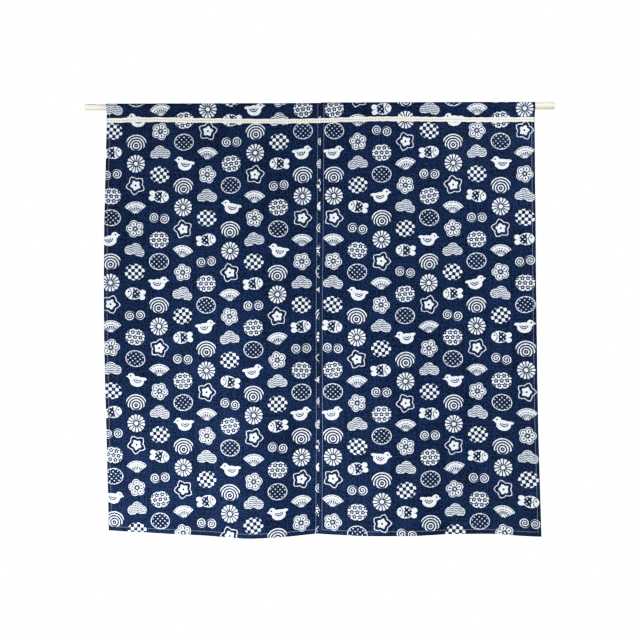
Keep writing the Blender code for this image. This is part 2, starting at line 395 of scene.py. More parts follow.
def folded_sheet(name, outer, thickness, flat, finish, node, flat_behind=None, turned=None):
    """A closed thin sheet: its outer grid, an inner grid at the thickness below it, and a rounded rim.

    Each row is one ring: the outer face across, the rim, the inner face back and the other rim. A middle
    line closes the first and last rows. The map "Cloth" holds flat, the place in the cut cloth in metres,
    and flat_behind on the inner face. The point attribute "Back" is 1 on the inner face but for the turned
    hems, where the cloth's front shows again, and the map "OFBake" lays both faces side by side.
    """
    rows, columns = outer.shape[:2]
    if turned is None:
        flat_behind, turned = flat, np.zeros((rows, columns))
    normal = normals_of(outer)
    thick = thickness[..., None]
    inner = outer - normal * thick
    middle = (outer + inner) / 2
    left_rim = rim(middle[:, 0], outer[:, 0], outer[:, 1], thick[:, 0])
    right_rim = rim(middle[:, -1], outer[:, -1], outer[:, -2], thick[:, -1])
    first_rim = rim(middle[0], outer[0], outer[1], thick[0])
    last_rim = rim(middle[-1], outer[-1], outer[-2], thick[-1])
    ring = np.concatenate((outer, right_rim[:, None], inner[:, ::-1], left_rim[:, None]), axis=1)
    around = ring.shape[1]
    vertices = np.concatenate((ring.reshape(-1, 3), first_rim, last_rim))

    # The walls between the rows.
    index = np.arange(rows * around).reshape(rows, around)
    beside = np.roll(index, -1, axis=1)
    quads = np.stack((index[:-1], beside[:-1], beside[1:], index[1:]), axis=-1).reshape(-1, 4)
    front, back = np.linspace(*BAKE_FRONT, columns), np.linspace(*BAKE_BACK, columns)
    u_bake = np.concatenate((front, BAKE_RIM_MIDDLES[:1], back, BAKE_RIM_MIDDLES[1:], [BAKE_LAST]))
    length = lengths_along(middle[:, columns // 2])
    v_bake = BAKE_ALONG[0] + (BAKE_ALONG[1] - BAKE_ALONG[0]) * length / length[-1]
    ring_flat = np.concatenate((flat, flat[:, -1:], flat_behind[:, ::-1], flat[:, :1]), axis=1)
    step = np.arange(around)
    corner_steps = np.stack((step, step + 1, step + 1, step), axis=-1)
    corner_rows = np.arange(rows - 1)[:, None, None] + np.array((0, 0, 1, 1))
    corner_rows, corner_steps = np.broadcast_arrays(corner_rows, corner_steps)
    faces = quads.tolist()
    bakes = [np.stack((u_bake[corner_steps], v_bake[corner_rows]), axis=-1).reshape(-1, 2)]
    cloths = [ring_flat[corner_rows, corner_steps % around].reshape(-1, 2)]

    # The ends: each side of the first and last rings goes to the middle line, with a triangle at either rim.
    column = np.concatenate((np.arange(columns), [columns - 1], np.arange(columns)[::-1], [0]))
    next_column = np.roll(column, -1)
    corner_used = np.ones((around, 4), bool)
    corner_used[column == next_column, 3] = False
    for row, base, edge, turn in ((0, 0, BAKE_ENDS[0], 1), (rows - 1, columns, BAKE_ENDS[1], -1)):
        base += rows * around
        corners = np.stack((beside[row], index[row], base + column, base + next_column), axis=1)[:, ::turn]
        used = corner_used[:, ::turn]
        faces += [corner[kept].tolist() for corner, kept in zip(corners, used)]
        u = np.stack((u_bake[1:], u_bake[:-1], u_bake[:-1], u_bake[1:]), axis=1)
        v = np.broadcast_to((v_bake[row], v_bake[row], edge, edge), u.shape)
        bakes.append(np.stack((u, v), axis=2)[:, ::turn][used])
        cloths.append(np.repeat(ring_flat[row], used.sum(axis=1), axis=0))

    piece = new_piece(name, vertices.tolist(), faces, finish, node)
    for layer, places in (("Cloth", cloths), ("OFBake", bakes)):
        piece.data.uv_layers.new(name=layer).data.foreach_set("uv", np.concatenate(places).ravel())
    piece.data.uv_layers.active = piece.data.uv_layers["Cloth"]
    behind = 1.0 - turned
    side = np.concatenate((0 * behind, behind[:, -1:] / 2, behind[:, ::-1], behind[:, :1] / 2), axis=1)
    paler = np.concatenate((side.ravel(), behind[0] / 2, behind[-1] / 2))
    piece.data.attributes.new("Back", "FLOAT", "POINT").data.foreach_set("value", paler)
    return piece, inner, normal


def along_line(points, path, at):
    """The points of a line at the given lengths along it."""
    return np.stack([np.interp(at, path, points[:, axis]) for axis in range(3)], axis=1)


def stitches(name, lines, sewing, finish):
    """Stitches along lines of (points, normals): each is a short closed thread, six-sided, sunk at its ends.

    Two rings of the thread's radius make its body, and a point closes it at either end.
    """
    centres, alongs, ups = [], [], []
    for points, normal in lines:
        path = lengths_along(points)
        at = np.arange(sewing.pitch / 2, path[-1], sewing.pitch)
        start = along_line(points, path, at - sewing.length / 2)
        end = along_line(points, path, at + sewing.length / 2)
        centres.append((start + end) / 2)
        alongs.append(unit(end - start))
        ups.append(unit(along_line(normal, path, at)))
    centre, along, up = (np.concatenate(part) for part in (centres, alongs, ups))
    side = unit(np.cross(along, up))
    up = np.cross(side, along)

    turn = np.linspace(0, 2 * PI, THREAD_SIDES, endpoint=False)
    thread = sewing.radius * np.stack((np.cos(turn), STITCH_LIFT + np.sin(turn)), axis=1)
    shoulder = np.full(THREAD_SIDES, STITCH_SHOULDER * sewing.length)
    sunk = -STITCH_SINK * sewing.radius
    local = np.vstack((
        (-sewing.length / 2, 0, sunk),
        np.column_stack((-shoulder, thread)),
        np.column_stack((shoulder, thread)),
        (sewing.length / 2, 0, sunk),
    ))
    first = 1 + np.arange(THREAD_SIDES)
    beside = np.roll(first, -1)
    start = np.zeros_like(first)
    end = start + len(local) - 1
    second, beside_second = first + THREAD_SIDES, beside + THREAD_SIDES
    start_cap = np.stack((start, first, beside), axis=1)
    end_cap = np.stack((end, beside_second, second), axis=1)
    caps = np.concatenate((start_cap, end_cap))
    body = np.stack((first, second, beside_second, beside), axis=1)

    axes = np.stack((along, side, up), axis=1)
    vertices = centre[:, None] + local @ axes
    starts = np.arange(len(centre))[:, None, None] * len(local)
    faces = (caps + starts).reshape(-1, 3).tolist() + (body + starts).reshape(-1, 4).tolist()
    return new_piece(name, vertices.reshape(-1, 3).tolist(), faces, finish)


def turned_surface(name, profile, finish, node):
    """A surface turned round the rod's axis from a profile of (distance along the rod, radius).

    A profile that starts on the axis also ends there, at a pole; any other joins its last point to its first.
    Along its outside it runs away from the rod's left end, so that the faces point outwards.
    """
    along, radius = np.array(profile, float).T[:, :, None]
    angle = np.linspace(0, 2 * PI, TURN_STEPS, endpoint=False)
    grid = np.stack(np.broadcast_arrays(along, radius * np.cos(angle), radius * np.sin(angle)), axis=2)
    rings, poles = grid[radius[:, 0] > 0], grid[radius[:, 0] == 0, 0]

    index = np.arange(len(rings) * TURN_STEPS).reshape(len(rings), TURN_STEPS)
    beside = np.roll(index, -1, axis=1)
    walls = np.stack((index, beside, np.roll(beside, -1, axis=0), np.roll(index, -1, axis=0)), axis=-1)
    if len(poles):
        start = np.full(TURN_STEPS, index.size)
        start_cap = np.stack((start, beside[0], index[0]), axis=1)
        end_cap = np.stack((start + 1, index[-1], beside[-1]), axis=1)
        faces = walls[:-1].reshape(-1, 4).tolist() + start_cap.tolist() + end_cap.tolist()
    else:
        faces = walls.reshape(-1, 4).tolist()
    vertices = np.concatenate((rings.reshape(-1, 3), poles))
    return new_piece(name, vertices.tolist(), faces, finish, node)


# ---------------------------------------------------------------- panels

Panel = namedtuple("Panel", "name node folds sides rod_radius cut_from phase")


def left_sides(down):
    """X of the left panel's two sides, at each share of the way down."""
    slit = smooth_curve(OUTLINE, "slit", down)
    return smooth_curve(OUTLINE, "left", down), slit - SLIT_GAP / 2


def right_sides(down):
    """X of the right panel's two sides, at each share of the way down."""
    slit = smooth_curve(OUTLINE, "slit", down)
    return slit + SLIT_GAP / 2, smooth_curve(OUTLINE, "right", down)


def pocket_lean(rod_radius):
    """The angle from upright of the pocket's sides, which touch the cloth's circle round the rod."""
    reach = rod_radius + ROD_GAP + CLOTH
    return math.asin(reach / math.hypot(FACE, SEAM_DROP)) - math.atan(FACE / SEAM_DROP)


def pocket_profile(rod_radius):
    """Y and Z of the pocket's outer face above the seam's front: up, over the rod, down and to the tail."""
    reach = rod_radius + ROD_GAP + CLOTH
    lean = pocket_lean(rod_radius)
    angle = np.linspace(PI + lean, -lean, ARC_ROWS + 1)
    arc = reach * np.column_stack((np.cos(angle), np.sin(angle)))
    share = np.linspace(0, 1, LEG_ROWS + 1)[:, None]
    front_seam = np.array((-FACE, -SEAM_DROP))
    back_seam = np.array((FACE, -SEAM_DROP))
    front_leg = front_seam + share * (arc[0] - front_seam)
    back_leg = arc[-1] + share * (back_seam - arc[-1])
    tail = back_seam - np.linspace(0, 1, TAIL_ROWS + 1)[1:, None] * np.array((0, TAIL))
    return front_leg[1:], arc[1:], back_leg[1:], tail


def hem_share(side, bottom, before, after):
    """The side hems' and the bottom hem's shares: 1 on the hem, 0 on the single cloth, and a smooth slope
    that starts this far before the hem's inner line and ends that far after it."""
    side_hem = 1 - soft_step(side, SIDE_HEM - before, SIDE_HEM + after)
    bottom_hem = 1 - soft_step(bottom, BOTTOM_HEM - before, BOTTOM_HEM + after)
    return side_hem, bottom_hem


def front_relief(panel, x, across, down, width):
    """How far forward of its folds the cloth stands: creases, ripples, puckers, and hems with their stitches.

    The stitches press in a groove: a bell curve of the distance from their line.
    """
    side = np.minimum(across, width - across)
    bottom = HANG - down
    soft = ripple(BROAD_WAVES, x, down) + ripple(CRUMPLE_WAVES, x, down) + creases(x, down)
    sides = puckers(down, across, panel.phase) + puckers(down, width - across, panel.phase + 2)
    hem = puckers(x, bottom, panel.phase + 4)
    ridge = np.maximum(*hem_share(side, bottom, HEM_STEP, HEM_STEP))
    from_stitches = np.minimum(abs(side - SIDE_STITCH), abs(bottom - BOTTOM_STITCH))
    groove = np.exp(-((from_stitches / STITCH_GROOVE_WIDTH) ** 2))
    hems = sides + HEM_RIDGE * ridge - STITCH_GROOVE * groove
    return soft * soft_step(down, *CREASES_FREE) + hems * soft_step(down, *HEMS_FREE) + hem


def make_panel(panel, finish, thread):
    """One panel: the grid of its outer face from the hem up the front, over the rod and down to the tail."""
    low, high = panel.sides(np.zeros(1))
    width = float(high[0] - low[0])
    across = stations(width, SIDE_STATIONS, SIDE_STATIONS, STEP)
    down = stations(HANG, SEAM_STATIONS, HEM_STATIONS, STEP)[::-1]
    legs = pocket_profile(panel.rod_radius)
    pocket = np.vstack(legs)
    all_down = np.concatenate((down, np.zeros(len(pocket))))
    low, high = panel.sides(all_down / HANG)
    x = low[:, None] + (high - low)[:, None] * (across / width)

    share = (down / HANG)[:, None]
    front_x = x[: len(down)]
    at_hem = smooth_curve(panel.folds, "hem_forward", across / width) * share**2
    at_middle = smooth_curve(panel.folds, "mid_forward", across / width) * np.sin(PI * share) ** 2
    relief = front_relief(panel, front_x, across[None], down[:, None], width)
    front_y = -FACE - at_hem - at_middle - relief - near_seam(front_x, -down[:, None])
    front_z = -SEAM_DROP - share * (HANG + smooth_curve(panel.folds, "hem_drop", across / width))

    pocket_x = x[len(down):]
    height = (pocket[:, 1] + SEAM_DROP)[:, None]
    pocket_y = pocket[:, :1] - near_seam(pocket_x, height)
    front_leg = (np.arange(len(pocket)) < len(legs[0]))[:, None]
    back_leg = (np.arange(len(pocket)) >= len(legs[0]) + len(legs[1]))[:, None]
    pocket_y = pocket_y - front_leg * slack(pocket_x, height, 0.0) + back_leg * slack(pocket_x, height, 2.0)
    pocket_z = np.broadcast_to(pocket[:, 1:], pocket_x.shape)

    outer = np.stack((x, np.vstack((front_y, pocket_y)), np.vstack((front_z, pocket_z))), axis=2)
    side = np.minimum(across, width - across)
    below = soft_step(all_down, HEM_TOP - HEM_TOP_SLOPE, HEM_TOP + HEM_TOP_SLOPE)[:, None]
    side_hem, bottom_hem = hem_share(side, (HANG - all_down)[:, None], 0, HEM_STEP)
    thickness = CLOTH + (HEM - CLOTH) * np.maximum(side_hem * below, bottom_hem)

    path = np.concatenate((down, -lengths_along(np.vstack(((-FACE, -SEAM_DROP), pocket)))[1:]))
    flat = np.stack(np.broadcast_arrays(across[None] + panel.cut_from, path[:, None]), axis=2)
    # Behind, a hem shows the cloth that lies past the fold: mirrored at the edge.
    side_reach, hem_reach = SIDE_HEM + HEM_STEP / 4, BOTTOM_HEM + HEM_STEP / 4
    past_right = np.where(width - across < side_reach, 2 * width - across, across)
    past = np.where(across < side_reach, -across, past_right)
    below_fold = np.where(HANG - path < hem_reach, 2 * HANG - path, path)
    flat_behind = np.stack(np.broadcast_arrays(past[None] + panel.cut_from, below_fold[:, None]), axis=2)
    turned = ((side < side_reach) | (HANG - all_down < hem_reach)[:, None]).astype(float)
    cloth, inner, normal = folded_sheet(
        panel.name, outer, thickness, flat, finish, panel.node, flat_behind, turned
    )

    side_column = int(np.argmin(abs(across - SIDE_STITCH)))
    hem_row = int(np.argmin(abs(HANG - down - BOTTOM_STITCH)))
    # Behind, the side's stitches end where the tail hangs over them.
    seam_row = len(down) - len(SEAM_STATIONS) + 2
    lines = []
    for column in (side_column, len(across) - 1 - side_column):
        lines.append((outer[hem_row:, column], normal[hem_row:, column]))
        lines.append((inner[hem_row:seam_row, column], -normal[hem_row:seam_row, column]))
    inside = slice(side_column, len(across) - side_column)
    lines.append((outer[hem_row, inside], normal[hem_row, inside]))
    lines.append((inner[hem_row, inside], -normal[hem_row, inside]))
    hem_stitches = stitches(panel.name + "_stitches", lines, HEM_SEWING, thread)
    return cloth, hem_stitches, (width, float(path[0] - path[-1]))


# ---------------------------------------------------------------- header tape


def tape_face(x, above, lift):
    """Y at this height above the seam, lift in front of both pockets' front layers."""
    slit = OUTLINE[0].slit * MM
    # The tape bends to the fuller pocket before it reaches the slit.
    fuller = soft_step(x, slit - 22 * MM, slit - 2 * MM)
    thin_tangent, thick_tangent = (math.tan(pocket_lean(radius)) for radius in (INNER_RADIUS, OUTER_RADIUS))
    leaning = np.maximum(above, 0) * ((1 - fuller) * thin_tangent + fuller * thick_tangent)
    return -FACE - near_seam(x, above) - slack(x, above, 0.0) - leaning - lift


def make_tape(finish, thread):
    """The tape, a narrow woven ribbon on the seam: a bell-shaped groove runs along its middle, and its edges
    wander by a drifting sine."""
    start = OUTLINE[0].left * MM + TAPE_END_INSET
    end = OUTLINE[0].right * MM - TAPE_END_INSET
    along = np.linspace(start, end, TAPE_STATIONS)
    line = smooth_curve(TAPE_LINE, "above_seam", (along - start) / (end - start))
    uneven = TAPE_UNEVEN * drifting_sine(along, 23, 2, 97)
    share = np.array(TAPE_ROWS)[:, None]
    height = share * (TAPE_HEIGHT / 2 + uneven * np.sign(share))
    above = height + line
    groove = TAPE_GROOVE * np.exp(-((share * TAPE_HEIGHT / 2 / TAPE_GROOVE_WIDTH) ** 2))
    y = tape_face(along, above, TAPE_GAP + TAPE) + groove
    outer = np.stack((np.broadcast_to(along, above.shape), y, above - SEAM_DROP), axis=2)
    thickness = np.broadcast_to(TAPE - groove, above.shape)
    flat = np.stack(np.broadcast_arrays(along, height), axis=2)
    tape, _, normal = folded_sheet("header_ribbon", outer, thickness, flat, finish, "header_tape")

    middle = len(share) // 2
    back = np.stack((along, FACE - near_seam(along, line), line - SEAM_DROP), axis=1)
    tangent = math.tan(pocket_lean(OUTER_RADIUS))
    back[:, 1] += np.maximum(line, 0) * tangent + np.where(line > 0, slack(along, line, 2.0), 0)
    facing_back = np.broadcast_to(np.array((0.0, 1.0, 0.0)), back.shape)
    lines = ((outer[middle], normal[middle]), (back, facing_back))
    return tape, stitches("header_ribbon_stitches", lines, TAPE_SEWING, thread)


# ---------------------------------------------------------------- rod


def rounded(along, radius, side):
    """Three points that round off an edge at a tube's end face. The tube lies on that side of it, 1 or -1."""
    bend = EDGE_ROUND * (1 - math.sqrt(0.5))
    return [
        (along + side * EDGE_ROUND, radius),
        (along + side * bend, radius - bend),
        (along, radius - EDGE_ROUND),
    ]


def make_rod(enamel, pale_enamel, plastic):
    """The thin tube with its closed left end, the thick tube with open ends, and the right end's plug."""
    bore = INNER_RADIUS - WALL
    end = INNER_TUBE_LENGTH
    thin_profile = [
        (0, 0),
        *rounded(0, INNER_RADIUS, 1)[::-1],
        (end, INNER_RADIUS),
        (end, bore),
        (END_THICKNESS, bore),
        (END_THICKNESS, 0),
    ]
    thin = turned_surface("thin_tube", thin_profile, pale_enamel, "rod_inner_tube")

    start = OUTER_TUBE_START
    end = ROD_LENGTH - PLUG_HEAD - PIECE_GAP
    bore = OUTER_RADIUS - WALL
    thick_profile = [
        (start, bore),
        (start, MOUTH_RADIUS),
        (start + MOUTH_TAPER / 2, (MOUTH_RADIUS + OUTER_RADIUS) / 2 + MOUTH_CROWN),
        (start + MOUTH_TAPER, OUTER_RADIUS),
        *rounded(end, OUTER_RADIUS, -1),
        (end, bore),
    ]
    thick = turned_surface("thick_tube", thick_profile, enamel, "rod_outer_tube")

    face = ROD_LENGTH
    shoulder = face - PLUG_HEAD
    spigot = OUTER_RADIUS - WALL - PIECE_GAP
    plug_profile = [
        (shoulder - SPIGOT_LENGTH, 0),
        (shoulder - SPIGOT_LENGTH, spigot),
        (shoulder, spigot),
        (shoulder, PLUG_RADIUS),
        *rounded(face, PLUG_RADIUS, -1),
        (face, 0),
    ]
    plug = turned_surface("end_cap", plug_profile, plastic, "rod_end_plug")
    return thin, thick, plug


# ---------------------------------------------------------------- materials


def colour(code):
    """Linear colour of an sRGB hex code."""
    parts = [int(code[i:i + 2], 16) / 255 for i in (1, 3, 5)]
    return (*(p / 12.92 if p <= 0.04045 else ((p + 0.055) / 1.055) ** 2.4 for p in parts), 1.0)


def add(tree, kind, inputs=(), **settings):
    """Adds one node with its settings, and links or sets its inputs, listed in order or by name."""
    node = tree.nodes.new("ShaderNode" + kind)
    for key, value in settings.items():
        setattr(node, key, value)
    for place, value in inputs.items() if isinstance(inputs, dict) else enumerate(inputs):
        if isinstance(value, bpy.types.NodeSocket):
            tree.links.new(value, node.inputs[place])
        elif value is not None:
            node.inputs[place].default_value = value
    return node


def new_material(name):
    """An empty node material, with its shader already joined to the output."""
    made = bpy.data.materials.new(name)
    made.use_nodes = True
    tree = made.node_tree
    tree.nodes.clear()
    shader = add(tree, "BsdfPrincipled")
    add(tree, "OutputMaterial", {"Surface": shader.outputs[0]})
    return made, tree, shader


SCALAR_RESULTS = ("DISTANCE", "LENGTH")  # vector operations that give a number


def work_out(tree, known, steps):
    """Adds each step's node (results, kind, operation, inputs) and keeps its outputs under their names."""
    for results, kind, operation, *inputs in steps:
        sources = [known[item] if isinstance(item, str) else item for item in inputs]
        settings = {"operation": operation} if operation else {}
        node = add(tree, kind, sources, **settings)
        outputs = [node.outputs["Value"]] if operation in SCALAR_RESULTS else node.outputs
        known.update(zip(results.split(), outputs) if kind == "SeparateXYZ" else [(results, outputs[0])])


# Cell of the print, in mm: motifs about 38 by 33 mm in upright columns, every other column half a row lower.
CELL_WIDE = 47
CELL_HIGH = 43
KINDS = 12

M, V = "Math", "VectorMath"


def disc(name, at, x, y, radius):
    """Steps for a disc: the distance from its middle, less its radius."""
    return (name + "_far", V, "DISTANCE", at, (x, y, 0)), (name, M, "SUBTRACT", name + "_far", radius)


def oval(name, at, x, y, wide, high, size):
    """Steps for an oval: the distance from its middle in half widths and half heights, less 1, times a size
    in mm."""
    return (
        (name + "_at", V, "MULTIPLY_ADD", at, (1 / wide, 1 / high, 0), (-x / wide, -y / high, 0)),
        (name + "_size", V, "LENGTH", name + "_at"),
        (name, M, "MULTIPLY_ADD", name + "_size", size, -size),
    )


def sector(name, count):
    """Steps that fold the cell into a sector: count of them go round, each mirrored about its middle line."""
    return (
        (name, M, "PINGPONG", "angle", PI / count),
        (name + "_cos", M, "COSINE", name),
        (name + "_sin", M, "SINE", name),
        (name + "_x", M, "MULTIPLY", "r", name + "_cos"),
        (name + "_y", M, "MULTIPLY", "r", name + "_sin"),
        (name + "_at", "CombineXYZ", None, name + "_x", name + "_y", 0.0),
    )


# The cell and its motif's kind: the column and row at a place in the cloth, and the place in mm from their
# middle. Rows are counted from 50 above the seam, and in every other column the motifs face the other way.
# The kinds follow one another down a column, and each column starts five on from the one before it.
CELL_STEPS = (
    ("u", M, "MULTIPLY", "cloth_u", 1 / CELL_WIDE),
    ("column", M, "FLOOR", "u"),
    ("odd", M, "FLOORED_MODULO", "column", 2),
    ("v", M, "MULTIPLY_ADD", "cloth_v", 1 / CELL_HIGH, 50.0),
    ("dropped", M, "MULTIPLY_ADD", "odd", 0.5, "v"),
    ("row", M, "FLOOR", "dropped"),
    ("cell_x", M, "SUBTRACT", "u", "column"),
    ("cell_y", M, "SUBTRACT", "row", "dropped"),
    ("facing", M, "MULTIPLY_ADD", "odd", -2 * CELL_WIDE, CELL_WIDE),
    ("x_centred", M, "SUBTRACT", "cell_x", 0.5),
    ("y_centred", M, "ADD", "cell_y", 0.5),
    ("x_mm", M, "MULTIPLY", "x_centred", "facing"),
    ("y_mm", M, "MULTIPLY", "y_centred", CELL_HIGH),
    ("cell", "CombineXYZ", None, "column", "row", 0.0),
    ("upright", "CombineXYZ", None, "x_mm", "y_mm", 0.0),
    ("order", M, "MULTIPLY_ADD", "column", 5.0, "row"),
    ("kind", M, "FLOORED_MODULO", "order", KINDS),
)

